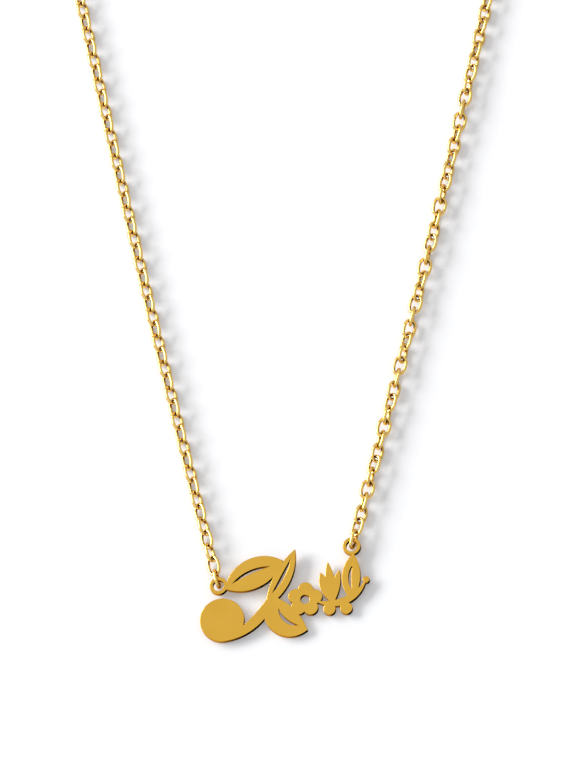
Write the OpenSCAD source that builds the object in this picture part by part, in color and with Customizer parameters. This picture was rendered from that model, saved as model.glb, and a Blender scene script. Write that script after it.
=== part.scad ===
// Nameplate necklace, laid out on a surface as a closed loop, in millimetres.
// The plate lies at the -Y end, the clasp at the +Y end, and the surface is z = 0.

/* [Nameplate] */
// Thickness of the sheet that the plate is cut from
plate_t = 1; // [0.8:0.05:1]
// Distance between the centres of the two eyelets
eyelet_pitch = 23.9; // [23.5:0.1:24.2]
// Outer diameter of an eyelet
eyelet_od = 3.1; // [3:0.1:3.2]
// Diameter of the hole in an eyelet
eyelet_id = 1.9; // [1.8:0.1:2]
// Turn of the line through the eyelets in the plane of the surface, in degrees
plate_turn = 15; // [14:0.5:17]
// Tilt of the plate about that line, which brings its lower edge down to the surface
plate_lean = 3.4; // [3:0.1:3.4]
// Place of the left eyelet's centre on the surface
eyelet_at = [-11.1, -90.9]; // [-100:0.1:100]

/* [Chain] */
// Diameter of the wire that the links are bent from
wire_d = 0.59; // [0.55:0.01:0.59]
// Outer length of a link
link_l = 3.84; // [3.8:0.02:3.9]
// Outer width of a link
link_w = 2.7; // [2.6:0.02:2.8]
// Clearance left between two links where they hook into each other
link_gap = 0.13; // [0.13:0.01:0.17]
// Links from the left eyelet to the clasp
links_left = 84; // [80:2:90]
// Links from the right eyelet to the clasp
links_right = 90; // [84:2:96]
// Further clearance between the links of the right chain, which lies a little looser
slack_right = 0.2; // [0:0.05:0.3]
// Turn of the two end links that hold the plate, in degrees off upright
end_turn = 10; // [0:1:10]

/* [Lay of the chain] */
// Slant of the left chain where it leaves its eyelet, in degrees from the necklace's length
spread_left = 14; // [13:0.1:15]
// Slant of the right chain where it leaves its eyelet
spread_right = 14.7; // [14:0.1:16]
// Slant of both chains further up, where they run straight
spread_high = 12.3; // [12:0.1:13]
// Length of each chain's slight bow, from its eyelet on
bow_l = 88; // [80:1:95]

/* [Clasp] */
// Outer diameter of the spring ring
ring_od = 6; // [5.5:0.1:6.5]
// Thickness of the spring ring's tube
ring_wire = 1; // [0.9:0.02:1]
// Outer diameter of the small fixed eye
eye_od = 3.4; // [3.2:0.1:3.6]
// Thickness of the wire of the fixed eye
eye_wire = 0.8; // [0.7:0.02:0.9]
// Height of the thumb knob above the ring
knob_h = 1; // [0.8:0.1:1.2]
// Thickness of the thumb knob
knob_d = 0.7; // [0.6:0.05:0.9]
// Place of the knob on the ring, in degrees from the side of the fixed eye
knob_turn = 60; // [40:5:90]

/* [Hidden] */
$fn = 72;

// A link's centre line is an oval of four arcs. The centres of a tight arc and a flat arc lie
// 7 units along and 24 across from each other, 25 apart, and the arcs meet on that slope.
half_l = (link_l - wire_d) / 2;
half_w = (link_w - wire_d) / 2;
unit = (half_l - half_w) / 6;
slope = unit * [7, 24];
end_r = half_w - unit;
side_r = end_r + 25 * unit;
pitch_left = link_l - 2 * wire_d - link_gap;
pitch_right = pitch_left - slack_right;

// Heights of the end links' centres: upright links hold the clasp, slightly turned ones the plate
axis_z = link_w / 2;
eyelet_r = (eyelet_od + eyelet_id) / 4;
eyelet_z = half_w * cos(end_turn) + wire_d / 2 - eyelet_r * sin(plate_lean);

// How far an eyelet's wall and the clasp's wire sit from the middle of the end link that holds them
hook = 0.15;
clasp_hook = 0.25;
ring_r = (ring_od - ring_wire) / 2;
eye_r = (eye_od - eye_wire) / 2;
eye_x = ring_r + eye_r;
clasp_span = ring_r + eye_x + eye_r;

// Corners of the lay: the eyelets, and the ends of the two bows
eyelet_right = eyelet_at + eyelet_pitch * [cos(plate_turn), sin(plate_turn)];
turn_right = spread_right - spread_high;
turn_left = spread_left - spread_high;
start = [eyelet_right.x, eyelet_right.y, 90 - spread_right];
bow_end = step(start, bow_l, turn_right);
bow_begin = step([eyelet_at.x, eyelet_at.y, 270 + spread_left], -bow_l, -turn_left);

// The hidden stretch closes the loop: two straight runs and one round arc between them
chains_l = (links_left - 1) * pitch_left + (links_right - 1) * pitch_right;
route_l = 2 * (eyelet_r + hook + clasp_hook) + chains_l + clasp_span;
back_turn = 180 + 2 * spread_high;
back_k = back_turn * PI / 180 / (2 * cos(spread_high));
across = bow_end.x - bow_begin.x;
runs = (route_l - 2 * bow_l - across * back_k) / (1 + back_k * sin(spread_high));
run_right = (runs + (bow_begin.y - bow_end.y) / cos(spread_high)) / 2;
back_r = (across + runs * sin(spread_high)) / (2 * cos(spread_high));

// Stretches of the route from the right eyelet round to the left one: length, turn
ROUTE = [
    [bow_l, turn_right],
    [run_right, 0],
    [back_r * back_turn * PI / 180, back_turn],
    [runs - run_right, 0],
    [bow_l, turn_left],
];

// Twist of each chain against links that stand upright and lie flat by turns. The left chain
// rests on its links' corners, and the right one is wound about 20 degrees a link in front:
// link number from the eyelet, twist in degrees
TWIST_LEFT = [
    [0, end_turn], [1, end_turn + 15], [7, 45], [links_left - 7, 45], [links_left - 1, 90],
];
TWIST_RIGHT = [
    [0, -end_turn], [1, -end_turn - 20], [8, -150], [28, -550], [30, -576], [33, -595],
    [36, -640], [40, -675], [links_right - 7, -675], [links_right - 1, -630],
];

// Place and heading after an arc of the given length and turn
function step(at, length, turn) =
    let (chord = turn == 0 ? length : length * sin(turn / 2) / (turn / 2 * PI / 180))
    [at.x + chord * cos(at[2] + turn / 2), at.y + chord * sin(at[2] + turn / 2), at[2] + turn];

// Place and heading at a distance along the route
function along(s, i = 0, at = start) =
    let (length = ROUTE[i][0], turn = ROUTE[i][1])
    s <= length || i == len(ROUTE) - 1 ? step(at, s, turn * s / length)
    : along(s - length, i + 1, step(at, length, turn));

// Leaves and stems of the plate, from tip to tip, measured from the left eyelet along the line
// through the eyelets. The sides bulge to the left and right of the way from one tip to the
// other, and a side below zero is hollow:
// x and y of one tip, x and y of the other, left bulge, right bulge
BLADES = [
    [-1.7, -9.87, 10.0, -2.4, -0.8, 2.7],
    [6.8, -6.2, 14.4, 2.4, 1.2, 1.8],
    [0.9, -0.9, 11.9, 1.0, 3.0, 2.4],
    [8.0, -4.2, 12.7, -12.2, 1.1, 4.2],
    [18.2, -8.9, 17.5, -2.9, 1.1, 0.8],
    [18.2, -8.9, 19.2, -1.4, 0.8, 0.8],
    [18.2, -8.9, 20.8, -3.4, 0.8, 0.6],
    [23.9, -1.3, 21.4, -9.4, 1.3, 1.9],
    [15.2, -7.4, 24.8, -6.4, -1.5, 2.8],
];

// Slits cut along the leaves, in the same terms
SLITS = [
    [2.5, -0.3, 9.4, 0.7, 0.8, -0.2],
    [8.6, -4.0, 13.2, 0.9, 0.05, 0.55],
    [8.9, -7.0, 11.4, -10.9, -0.5, 1.1],
    [23.1, -3.4, 21.9, -7.4, -0.1, 0.65],
];

// Round berries: x, y, radius
BERRIES = [[-1.0, -6.1, 3.85], [17.3, -9.7, 1.06], [20.1, -10.4, 1.06], [24.7, -6.5, 0.6]];

// The five-petalled flower: place of its middle, and the radii of its petals, of their
// ring and of its pierced eye
flower_at = [13.7, -6.8];
petal_r = 1.3;
petal_ring = 1.75;
flower_eye = 0.8;

// Radius of an arc from its chord and its bulge
function arc_r(chord, bulge) = (chord * chord / 4 + bulge * bulge) / (2 * bulge);

// Disc whose edge passes through both tips and bulges upwards
module bulging(chord, bulge) {
    r = arc_r(chord, bulge);
    translate([chord / 2, bulge - r]) circle(r);
}

// Leaf or curved stem between two arcs, from a row of BLADES or SLITS
module blade(row) {
    tip = [row[0], row[1]];
    way = [row[2], row[3]] - tip;
    chord = norm(way);
    left = row[4];
    right = row[5];
    translate(tip) rotate(atan2(way.y, way.x)) {
        if (left > 0 && right > 0) {
            intersection() {
                bulging(chord, left);
                mirror([0, 1]) bulging(chord, right);
            }
        } else {
            mirror([0, left > 0 ? 0 : 1]) difference() {
                bulging(chord, max(left, right));
                bulging(chord, -min(left, right));
            }
        }
    }
}

// Vine with leaves, a tulip, a flower and berries
module ornament() {
    for (row = BLADES) blade(row);
    for (row = BERRIES) translate([row[0], row[1]]) circle(row[2]);
    translate(flower_at) for (i = [0:4]) rotate(i * 72) translate([petal_ring, 0]) circle(petal_r);
}

module eyelets(diameter) {
    for (x = [0, eyelet_pitch]) translate([x, 0]) circle(d = diameter);
}

module plate_outline() {
    difference() {
        union() {
            ornament();
            eyelets(eyelet_od);
        }
        eyelets(eyelet_id);
        translate(flower_at) circle(flower_eye);
        for (row = SLITS) blade(row);
    }
}

module nameplate() {
    color("goldenrod")
        translate([eyelet_at.x, eyelet_at.y, eyelet_z])
            rotate([0, 0, plate_turn]) rotate([plate_lean, 0, 0])
                translate([0, 0, -plate_t / 2]) linear_extrude(plate_t) plate_outline();
}

// Ring of round wire in the XY plane
module wire_ring(radius, wire) {
    rotate_extrude() translate([radius, 0]) circle(d = wire);
}

// Slice of space that stands on a polygon and is thicker than the wire
module slice(points) {
    translate([0, 0, -wire_d]) linear_extrude(2 * wire_d) polygon(points);
}

// Oval link in the XY plane, its length along X
module oval_link() {
    for (side = [-1, 1]) {
        intersection() {
            translate([side * slope.x, 0]) wire_ring(end_r, wire_d);
            slice(side * [
                [slope.x, 0], [2 * slope.x, slope.y], [4 * slope.x, 0], [2 * slope.x, -slope.y],
            ]);
        }
        intersection() {
            translate([0, -side * slope.y]) wire_ring(side_r, wire_d);
            slice(side * [[0, -slope.y], [2 * slope.x, slope.y], [-2 * slope.x, slope.y]]);
        }
    }
}

// Link number i of a chain, at a distance along the route, resting on the surface
module placed_link(s, i, twist) {
    at = along(s);
    roll = 90 * ((i + 1) % 2) + lookup(i, twist);
    rest_z = half_w * max(abs(sin(roll)), abs(cos(roll))) + wire_d / 2;
    translate([at.x, at.y, rest_z]) rotate([0, 0, at[2]]) rotate([roll, 0, 0]) oval_link();
}

module chain_left() {
    color("goldenrod") for (i = [0:links_left - 1])
        placed_link(route_l - eyelet_r - hook - i * pitch_left, i, TWIST_LEFT);
}

module chain_right() {
    color("goldenrod") for (i = [0:links_right - 1])
        placed_link(eyelet_r + hook + i * pitch_right, i, TWIST_RIGHT);
}

// Spring ring with its fixed eye, lying flat in the two end links
module clasp() {
    first = along(eyelet_r + hook + (links_right - 1) * pitch_right + clasp_hook);
    last = along(route_l - eyelet_r - hook - (links_left - 1) * pitch_left - clasp_hook);
    way = [last.x - first.x, last.y - first.y];
    color("goldenrod") translate([first.x, first.y, axis_z]) rotate([0, 0, atan2(way.y, way.x)])
        translate([ring_r, 0, 0]) {
            wire_ring(ring_r, ring_wire);
            translate([eye_x, 0, 0]) wire_ring(eye_r, eye_wire);
            rotate([0, 0, knob_turn]) translate([ring_r, 0, 0]) rotate([0, 90, 0])
                cylinder(h = ring_wire / 2 + knob_h, d = knob_d);
        }
}

nameplate();
chain_left();
chain_right();
clasp();
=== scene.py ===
import math

import bmesh
import bpy
import numpy as np
from mathutils import Matrix, Vector


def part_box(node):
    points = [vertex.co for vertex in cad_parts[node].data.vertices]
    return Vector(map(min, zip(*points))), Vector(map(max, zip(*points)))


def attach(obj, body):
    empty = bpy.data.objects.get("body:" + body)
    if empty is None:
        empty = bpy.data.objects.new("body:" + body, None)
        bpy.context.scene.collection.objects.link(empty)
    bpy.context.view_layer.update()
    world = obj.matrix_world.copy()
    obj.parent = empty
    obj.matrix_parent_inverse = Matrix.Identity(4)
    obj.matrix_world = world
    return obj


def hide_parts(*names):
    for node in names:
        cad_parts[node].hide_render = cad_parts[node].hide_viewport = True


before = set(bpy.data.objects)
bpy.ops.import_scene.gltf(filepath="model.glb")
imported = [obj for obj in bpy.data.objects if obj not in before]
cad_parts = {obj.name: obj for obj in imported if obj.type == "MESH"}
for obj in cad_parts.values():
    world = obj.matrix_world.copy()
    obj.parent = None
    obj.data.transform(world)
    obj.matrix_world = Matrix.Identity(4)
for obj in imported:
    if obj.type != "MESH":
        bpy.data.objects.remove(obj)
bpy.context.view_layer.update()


# The nameplate: one piece of stainless steel sheet, cut through by laser to the outline of a vine
# with its two eyelets, buffed to a mirror on both faces and gold plated. The wheel rounds the
# edges over a little. The walls that face the lower right, away from the key light, are painted
# shade, near black.
MM = 0.001
RIM = 0.05 * MM
RIM_STEPS = 3
SHARP = math.radians(40)
FLAT = math.radians(0.5)
FACE_UP = 0.99
WELD = 0.001 * MM
PLATING = "#F0BE4E"
PLATING_DEEP = "#E6B041"
PLATING_CLOUD = 4 * MM
BUFF_LINE = 0.2 * MM
BUFF_TURN = math.radians(15)
CUT_WALL = "#E6B044"
CUT_WALL_DEEP = "#B98828"
LASER_LINE = 0.12 * MM
# Painted shade: the near black, the way that the walls which get it face (lower right, away from the
# key light), and the angles over which it fades.
SHADE_BLACK = "#1C0E04"
SHADE_WAY = Vector((0.74, -0.67, 0))
SHADE_FULL = math.radians(20)
SHADE_NONE = math.radians(50)
LEVEL = Vector((1, 1, 0))


def merged(node):
    """A CAD node's mesh with its loose triangles joined up."""
    mesh = bmesh.new()
    mesh.from_mesh(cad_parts[node].data)
    bmesh.ops.remove_doubles(mesh, verts=mesh.verts, dist=WELD)
    return mesh


def piece(name, mesh, slot, *nodes):
    """The finished mesh as a piece of the necklace that stands for these CAD nodes."""
    made = bpy.data.objects.new(name, bpy.data.meshes.new(name))
    mesh.to_mesh(made.data)
    mesh.free()
    bpy.context.scene.collection.objects.link(made)
    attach(made, "root")
    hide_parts(*nodes)
    return made


def linear(code):
    """An sRGB hex colour as the linear colour that the shaders take."""
    parts = [int(code[i:i + 2], 16) / 255 for i in (1, 3, 5)]
    return (*[p / 12.92 if p <= 0.04045 else ((p + 0.055) / 1.055) ** 2.4 for p in parts], 1)


def add(tree, kind, settings, links):
    """Adds a node, sets its options and input values, and links its inputs to other outputs."""
    made = tree.nodes.new("ShaderNode" + kind)
    for name, value in settings.items():
        if isinstance(name, str) and hasattr(made, name):
            setattr(made, name, value)
        else:
            made.inputs[name].default_value = value
    for name, source in links.items():
        tree.links.new(source, made.inputs[name])
    return made


def blank(name):
    """An empty material and its node tree."""
    made = bpy.data.materials.new(name)
    made.use_nodes = True
    made.node_tree.nodes.clear()
    return made, made.node_tree


def buffed_plating():
    """Gold plating buffed to a mirror: an even tone that follows the room, with faint wheel lines
    along the plate. Real ones are finer than a pixel, so they are drawn as coarse as one."""
    made, tree = blank("buffed_gold_plating")
    place = add(tree, "TexCoord", {}, {})
    along = add(tree, "Mapping", {"Rotation": (0, 0, BUFF_TURN), "Scale": (0.06, 1, 1)},
                {"Vector": place.outputs["Object"]})
    lines = add(tree, "TexNoise", {"Scale": 1 / BUFF_LINE, "Detail": 3},
                {"Vector": along.outputs["Vector"]})
    cloud = add(tree, "TexNoise", {"Scale": 1 / PLATING_CLOUD, "Detail": 2},
                {"Vector": place.outputs["Object"]})
    tone = add(tree, "Mix", {"data_type": "RGBA", 6: linear(PLATING), 7: linear(PLATING_DEEP)},
               {0: cloud.outputs["Fac"]})
    gloss = add(tree, "MapRange", {"To Min": 0.07, "To Max": 0.15}, {"Value": lines.outputs["Fac"]})
    bump = add(tree, "Bump", {"Strength": 0.04, "Distance": 0.01 * MM},
               {"Height": lines.outputs["Fac"]})
    metal = add(tree, "BsdfPrincipled", {"Metallic": 1}, {
        "Base Color": tone.outputs[2], "Roughness": gloss.outputs["Result"],
        "Normal": bump.outputs["Normal"],
    })
    add(tree, "OutputMaterial", {}, {"Surface": metal.outputs["BSDF"]})
    return made


def laser_cut_wall():
    """Plated laser cut: fine upright ridges, duller than a face, with painted shade that turns the
    walls facing away from the light near black.
    """
    made, tree = blank("laser_cut_gold_plating")
    place = add(tree, "TexCoord", {}, {})
    upright = add(tree, "Mapping", {"Scale": (1, 1, 0.1)}, {"Vector": place.outputs["Object"]})
    ridges = add(tree, "TexNoise", {"Scale": 1 / LASER_LINE, "Detail": 2},
                 {"Vector": upright.outputs["Vector"]})
    tone = add(tree, "Mix", {"data_type": "RGBA", 6: linear(CUT_WALL), 7: linear(CUT_WALL_DEEP)},
               {0: ridges.outputs["Fac"]})
    bump = add(tree, "Bump", {"Strength": 0.3, "Distance": 0.02 * MM},
               {"Height": ridges.outputs["Fac"]})
    # Painted shade: walls that face away from the light are blended towards near black, in their
    # colour and in the tint of their reflections.
    painted_shade = add(tree, "Attribute", {"attribute_name": "painted_shade"}, {})
    whole = add(tree, "Mix", {"data_type": "RGBA", 7: linear(SHADE_BLACK)},
                {0: painted_shade.outputs["Fac"], 6: tone.outputs[2]})
    edges = add(tree, "Mix", {"data_type": "RGBA", 6: linear(CUT_WALL), 7: linear(SHADE_BLACK)},
                {0: painted_shade.outputs["Fac"]})
    metal = add(tree, "BsdfPrincipled", {"Metallic": 1, "Roughness": 0.3}, {
        "Base Color": whole.outputs[2], "Specular Tint": edges.outputs[2],
        "Normal": bump.outputs["Normal"],
    })
    add(tree, "OutputMaterial", {}, {"Surface": metal.outputs["BSDF"]})
    return made


sheet = merged("nameplate")
bmesh.ops.dissolve_limit(sheet, angle_limit=FLAT, verts=sheet.verts, edges=sheet.edges)
rim = [edge for edge in sheet.edges if edge.calc_face_angle(0) > SHARP]
bmesh.ops.bevel(sheet, geom=rim, offset=RIM, offset_type="OFFSET", affect="EDGES",
                segments=RIM_STEPS, profile=0.5, material=-1)
sheet.normal_update()

# The two flat faces are buffed, and the walls and rim are as the laser left them.
for face in sheet.faces:
    face.smooth = abs(face.normal.z) < FACE_UP
    face.material_index = int(face.smooth)

# The painted shade is whole where a wall faces the lower right, away from the key light, and fades
# as the wall turns from that way.
painted_shade = sheet.verts.layers.float.new("painted_shade")
for vert in sheet.verts:
    out = sum((face.normal * LEVEL for face in vert.link_faces if face.smooth), Vector())
    if out.length > 0:
        vert[painted_shade] = min(max((SHADE_NONE - out.angle(SHADE_WAY)) / (SHADE_NONE - SHADE_FULL), 0), 1)
nameplate = piece("buffed_nameplate", sheet, "plate", "nameplate")
nameplate.data.materials.append(buffed_plating())
nameplate.data.materials.append(laser_cut_wall())


# The chain: oval cable links of round steel wire, cut, linked at right angles, closed by a
# soldered joint, tumbled bright and gold plated. The left and right lengths run from the
# eyelets to the clasp, and every link stays where the frame has it.
WIRE = 0.59 * MM
LINK_LONG = 3.84 * MM
LINK_WIDE = 2.7 * MM
WIRE_SIDES = 6
END_STEPS = 5
SIDE_STEPS = 2
WIRE_GOLD = "#FFDA7E"
WIRE_GOLD_DEEP = "#FACF70"
# Painted shade: the brown laid on the inside of each link's end bends, where the next link hooks in.
BEND_SHADE_BROWN = "#7E4A10"
EDGE_BROWN = "#D09A50"
TUMBLE_MARK = 0.25 * MM


def tumbled_plating():
    """Gold plating tumbled bright on wire, a gloss broken by tiny dents and browner at a slant.
    The inside of a link's end bends, where the next link hooks in, is duller, and its brown there is
    painted shade."""
    made, tree = blank("tumbled_gold_plating")
    place = add(tree, "TexCoord", {}, {})
    dents = add(tree, "TexNoise", {"Scale": 1 / TUMBLE_MARK, "Detail": 2},
                {"Vector": place.outputs["Object"]})
    tone = add(tree, "Mix", {"data_type": "RGBA", 6: linear(WIRE_GOLD), 7: linear(WIRE_GOLD_DEEP)},
               {0: dents.outputs["Fac"]})
    gloss = add(tree, "MapRange", {"To Min": 0.09, "To Max": 0.19}, {"Value": dents.outputs["Fac"]})
    bump = add(tree, "Bump", {"Strength": 0.15, "Distance": 0.01 * MM},
               {"Height": dents.outputs["Fac"]})
    # Painted shade inside the end bends, blended in over the plating's colour.
    bend_shade = add(tree, "Attribute", {"attribute_name": "painted_bend_shade"}, {})
    whole = add(tree, "Mix", {"data_type": "RGBA", 7: linear(BEND_SHADE_BROWN)},
                {0: bend_shade.outputs["Fac"], 6: tone.outputs[2]})
    dull = add(tree, "Mix", {"data_type": "FLOAT", 3: 0.3},
               {0: bend_shade.outputs["Fac"], 2: gloss.outputs["Result"]})
    metal = add(tree, "BsdfPrincipled", {"Metallic": 1, "Specular Tint": linear(EDGE_BROWN)}, {
        "Base Color": whole.outputs[2], "Roughness": dull.outputs[0],
        "Normal": bump.outputs["Normal"],
    })
    add(tree, "OutputMaterial", {}, {"Surface": metal.outputs["BSDF"]})
    return made


def wire_cut(mesh, radius, wire, angle, sides):
    """The wire's round cut, upright on a circle about the origin, ready to be spun round it."""
    turned = Matrix.Rotation(angle, 4, "Z") @ Matrix.Translation((radius, 0, 0))
    upright = Matrix.Rotation(math.radians(90), 4, "X")
    bmesh.ops.create_circle(mesh, segments=sides, radius=wire / 2, matrix=turned @ upright)


def oval_link():
    """One link, its length along X: the wire spun about the centres of its four arcs in turn."""
    # The arcs' centres lie 7 parts out along the link and 24 across it, so they are 25 apart, and
    # the link is 12 parts longer than it is wide.
    part = (LINK_LONG - LINK_WIDE) / 12
    end_at = 7 * part
    side_at = 24 * part
    end_r = (LINK_LONG - WIRE) / 2 - end_at
    side_turn = 2 * math.atan2(end_at, side_at)
    end_turn = math.pi - side_turn

    # Subdivision draws the wire's cut in, so it starts this much larger.
    swell = 3 / (2 + math.cos(2 * math.pi / WIRE_SIDES))
    mesh = bmesh.new()
    wire_cut(mesh, end_r, WIRE * swell, -end_turn / 2, WIRE_SIDES)
    bmesh.ops.translate(mesh, vec=(end_at, 0, 0), verts=mesh.verts)
    last = mesh.verts[:] + mesh.edges[:]
    arcs = [
        ((end_at, 0, 0), end_turn, END_STEPS),
        ((0, -side_at, 0), side_turn, SIDE_STEPS),
        ((-end_at, 0, 0), end_turn, END_STEPS),
        ((0, side_at, 0), side_turn, SIDE_STEPS),
    ]
    for centre, angle, steps in arcs:
        last = bmesh.ops.spin(mesh, geom=last, cent=centre, axis=(0, 0, 1), angle=angle,
                              steps=steps, use_merge=False)["geom_last"]
    bmesh.ops.remove_doubles(mesh, verts=mesh.verts, dist=WELD)
    bmesh.ops.recalc_face_normals(mesh, faces=mesh.faces)
    for face in mesh.faces:
        face.smooth = True

    # Painted shade: whole on the inner face of each end bend, fading to nothing at the middle of the
    # wire.
    bend_shade = mesh.verts.layers.float.new("painted_bend_shade")
    for vert in mesh.verts:
        from_end = math.hypot(abs(vert.co.x) - end_at, vert.co.y)
        if abs(vert.co.x) > end_at:
            vert[bend_shade] = min(max((end_r - from_end) / (WIRE / 2), 0), 1)
    made = bpy.data.meshes.new("link")
    mesh.to_mesh(made)
    mesh.free()
    return made


def loose_parts(mesh):
    """The faces of each loose part of a mesh."""
    for face in mesh.faces:
        face.tag = False
    for first in mesh.faces:
        if first.tag:
            continue
        first.tag = True
        found = [first]
        for face in found:
            for beside in [near for edge in face.edges for near in edge.link_faces]:
                if not beside.tag:
                    beside.tag = True
                    found.append(beside)
        yield found


def link_places(node):
    """Place and turn of each link in a chain's CAD mesh, from the spread of its surface."""
    mesh = merged(node)
    for faces in loose_parts(mesh):
        area = np.array([face.calc_area() for face in faces])
        spot = np.array([face.calc_center_median() for face in faces])
        middle = area @ spot / area.sum()
        spread = (spot - middle).T @ ((spot - middle) * area[:, None])
        widest_last = np.linalg.eigh(spread)[1]
        along = Vector(widest_last[:, 2])
        across = Vector(widest_last[:, 1])
        turn = Matrix([along, across, along.cross(across)]).transposed()
        yield Matrix.Translation(Vector(middle)) @ turn.to_4x4()
    mesh.free()


link = oval_link()
wire_finish = tumbled_plating()
for side in ("left", "right"):
    chain = bmesh.new()
    for place in link_places("chain_" + side):
        chain.from_mesh(link)
        bmesh.ops.transform(chain, matrix=place, verts=chain.verts[-len(link.vertices):])
    links = piece(side + "_chain_links", chain, "chain", "chain_" + side)
    links.data.materials.append(wire_finish)
    rounder = links.modifiers.new("round_wire", "SUBSURF")
    rounder.levels = 1
    rounder.render_levels = 1


# The clasp: a spring ring of bent steel tube, plated like the chain. A thin curved bolt slides in
# the tube and closes its gap, drawn back by a small knob in a slot, and a plain eye soldered to
# the ring takes the last link of the left chain.
RING_OUT = 6 * MM
TUBE = 1 * MM
TUBE_SIDES = 20
GAP_FROM = math.radians(72)
GAP_TO = math.radians(132)
BOLT = 0.66 * MM
BOLT_IN = 0.1
EYE_OUT = 3.4 * MM
EYE_WIRE = 0.8 * MM
KNOB = 0.7 * MM
KNOB_HIGH = 1 * MM
KNOB_TURN = math.radians(60)
RING_STEPS = 60
BOLT_STEPS = 16
EYE_STEPS = 40
CREST = 0.02 * MM
ring_r = (RING_OUT - TUBE) / 2
eye_r = (EYE_OUT - EYE_WIRE) / 2

# The frame says where the ring's middle is, from its crest, and which way its eye points.
solid = merged("clasp")
low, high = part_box("clasp")
crest = np.array([vert.co for vert in solid.verts if vert.co.z > high.z - CREST])
ring_at = Vector((crest.min(axis=0) + crest.max(axis=0)) / 2)
ring_at.z = (low.z + high.z) / 2
far = max((vert.co - ring_at for vert in solid.verts), key=lambda way: way.length)
solid.free()
eye_turn = math.atan2(far.y, far.x)
eye_x = math.hypot(far.x, far.y) - EYE_OUT / 2


def join(whole, part):
    """Adds a finished part's mesh to the whole one."""
    mesh = bpy.data.meshes.new("part")
    part.to_mesh(mesh)
    part.free()
    whole.from_mesh(mesh)
    bpy.data.meshes.remove(mesh)


def round_over(mesh, edges, offset):
    """Rounds the sharp edges of a small turned or bent part over."""
    bmesh.ops.bevel(mesh, geom=edges, offset=offset, offset_type="OFFSET", affect="EDGES",
                    segments=RIM_STEPS, profile=0.5, material=-1)


def wire_ring(radius, wire, steps):
    """A round wire bent to a whole ring about the origin."""
    made = bmesh.new()
    wire_cut(made, radius, wire, 0, TUBE_SIDES)
    bmesh.ops.spin(made, geom=made.verts[:] + made.edges[:], cent=(0, 0, 0), axis=(0, 0, 1),
                   angle=2 * math.pi, steps=steps, use_merge=True)
    bmesh.ops.recalc_face_normals(made, faces=made.faces)
    return made


def wire_arc(radius, wire, start, end, steps):
    """A round wire bent about the origin from one angle to another, with rounded ends."""
    made = bmesh.new()
    wire_cut(made, radius, wire, start, TUBE_SIDES)
    bmesh.ops.spin(made, geom=made.verts[:] + made.edges[:], cent=(0, 0, 0), axis=(0, 0, 1),
                   angle=end - start, steps=steps, use_merge=False)
    caps = bmesh.ops.holes_fill(made, edges=made.edges, sides=0)["faces"]
    round_over(made, [edge for face in caps for edge in face.edges], wire / 6)
    bmesh.ops.recalc_face_normals(made, faces=made.faces)
    return made


spring_ring = bmesh.new()
join(spring_ring, wire_arc(ring_r, TUBE, GAP_TO, GAP_FROM + 2 * math.pi, RING_STEPS))
join(spring_ring, wire_arc(ring_r, BOLT, GAP_FROM - BOLT_IN, GAP_TO + BOLT_IN, BOLT_STEPS))

eye = wire_ring(eye_r, EYE_WIRE, EYE_STEPS)
bmesh.ops.translate(eye, vec=(eye_x, 0, 0), verts=eye.verts)
join(spring_ring, eye)

knob = bmesh.new()
knob_long = TUBE / 2 + KNOB_HIGH
knob_place = Matrix.Rotation(KNOB_TURN, 4, "Z") @ Matrix.Translation((ring_r + knob_long / 2, 0, 0))
bmesh.ops.create_cone(knob, cap_ends=True, segments=TUBE_SIDES, radius1=KNOB / 2, radius2=KNOB / 2,
                      depth=knob_long, matrix=knob_place @ Matrix.Rotation(math.radians(90), 4, "Y"))
round_over(knob, [edge for edge in knob.edges if edge.calc_face_angle(0) > SHARP], KNOB / 5)
join(spring_ring, knob)

bmesh.ops.rotate(spring_ring, cent=(0, 0, 0), matrix=Matrix.Rotation(eye_turn, 3, "Z"),
                 verts=spring_ring.verts)
bmesh.ops.translate(spring_ring, vec=ring_at, verts=spring_ring.verts)
for face in spring_ring.faces:
    face.smooth = True
clasp = piece("spring_ring_clasp", spring_ring, "clasp", "clasp")
clasp.data.materials.append(wire_finish)


# The floor: a sheet of white acrylic on a light table, under the necklace and not part of it.
# It is sawn to size with its faces left matt.
FLOOR_HALF = 3
ACRYLIC = "#CDCDCF"
ACRYLIC_DEEP = "#CACACC"
CLOUDING = 0.8 * MM
TABLE_GLOW = 0.18


def white_acrylic():
    """Matt white acrylic, faintly clouded. The table's glow through it softens the shadows."""
    made, tree = blank("white_acrylic")
    place = add(tree, "TexCoord", {}, {})
    clouds = add(tree, "TexNoise", {"Scale": 1 / CLOUDING, "Detail": 3},
                 {"Vector": place.outputs["Object"]})
    tone = add(tree, "Mix", {"data_type": "RGBA", 6: linear(ACRYLIC), 7: linear(ACRYLIC_DEEP)},
               {0: clouds.outputs["Fac"]})
    matt = add(tree, "BsdfPrincipled", {
        "Roughness": 0.9, "Specular IOR Level": 0.1,
        "Emission Color": (1, 1, 1, 1), "Emission Strength": TABLE_GLOW,
    }, {"Base Color": tone.outputs[2]})
    add(tree, "OutputMaterial", {}, {"Surface": matt.outputs["BSDF"]})
    return made


acrylic = bmesh.new()
bmesh.ops.create_grid(acrylic, x_segments=1, y_segments=1, size=FLOOR_HALF)
floor = bpy.data.objects.new("floor", bpy.data.meshes.new("floor"))
acrylic.to_mesh(floor.data)
acrylic.free()
floor.data.materials.append(white_acrylic())
bpy.context.scene.collection.objects.link(floor)


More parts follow.
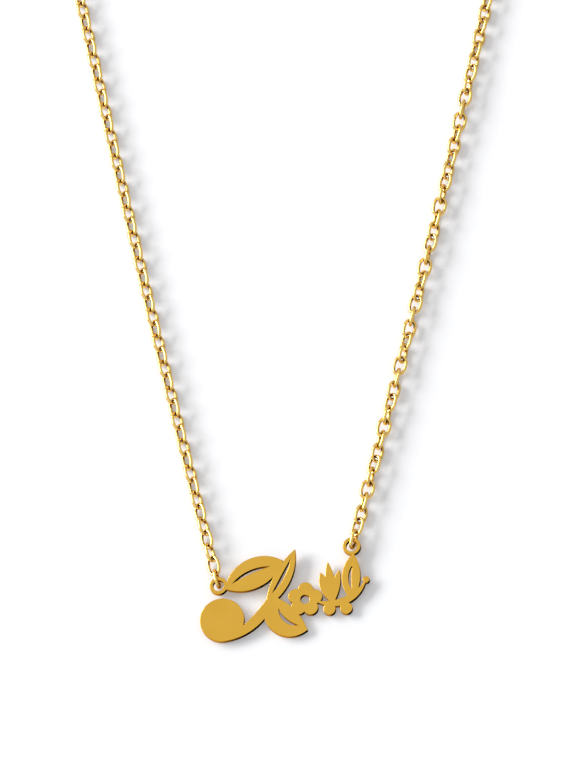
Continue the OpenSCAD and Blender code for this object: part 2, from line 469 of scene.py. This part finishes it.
# The light: a white room that dims towards the horizon, and one wide soft box low on the left,
# which throws the shadows to the lower right.
ROOM = 0.85
ROOM_LOW = 0.36
ROOM_TINT = (0.98, 0.99, 1, 1)
ROOM_UP = (-0.35, 0.1, 0.93)
KEY_WATT = 395
KEY_WIDE = 4
KEY_HIGH = 1.6
KEY_FAR = 5
KEY_FROM = Vector((-0.841, 0.294, 0.454)).normalized()

room = bpy.data.worlds.new("studio_room")
room.use_nodes = True
room.node_tree.nodes.clear()
bpy.context.scene.world = room
sky = room.node_tree
way = add(sky, "TexCoord", {}, {})
height = add(sky, "VectorMath", {"operation": "DOT_PRODUCT", 1: ROOM_UP},
             {0: way.outputs["Generated"]})
level = add(sky, "MapRange", {
    "From Min": -0.1, "From Max": 0.75, "To Min": ROOM_LOW, "To Max": ROOM,
    "interpolation_type": "SMOOTHSTEP",
}, {"Value": height.outputs["Value"]})
glow = add(sky, "Background", {"Color": ROOM_TINT}, {"Strength": level.outputs["Result"]})
add(sky, "OutputWorld", {}, {"Surface": glow.outputs["Background"]})

key = bpy.data.objects.new("key_light", bpy.data.lights.new("key_light", "AREA"))
key.data.energy = KEY_WATT
key.data.shape = "RECTANGLE"
key.data.size = KEY_WIDE
key.data.size_y = KEY_HIGH
key.location = KEY_FROM * KEY_FAR
key.rotation_euler = KEY_FROM.to_track_quat("Z", "Y").to_euler()
bpy.context.scene.collection.objects.link(key)


# The camera: a long lens above the plate end of the loop, 22.5 degrees off the vertical towards
# the plate and the right, as the photograph was taken.
TILT = math.radians(22.5)
SIDE = math.radians(20)
ROLL = math.radians(0.25)
AIM = Vector((0.76, -54.13, 1.2)) * MM
AWAY = 1300 * MM
LENS = 351
NEAR = 10 * MM

back = Vector((math.sin(TILT) * math.sin(SIDE), -math.sin(TILT) * math.cos(SIDE), math.cos(TILT)))
right = Matrix.Rotation(ROLL, 3, back) @ Vector((0, 1, 0)).cross(back).normalized()
turn = Matrix([right, back.cross(right), back]).transposed().to_4x4()
camera = bpy.data.objects.new("camera", bpy.data.cameras.new("camera"))
camera.matrix_world = Matrix.Translation(AIM + back * AWAY) @ turn
camera.data.lens = LENS
camera.data.clip_start = NEAR
bpy.context.scene.collection.objects.link(camera)
bpy.context.scene.camera = camera
bpy.context.scene.view_settings.view_transform = "Standard"
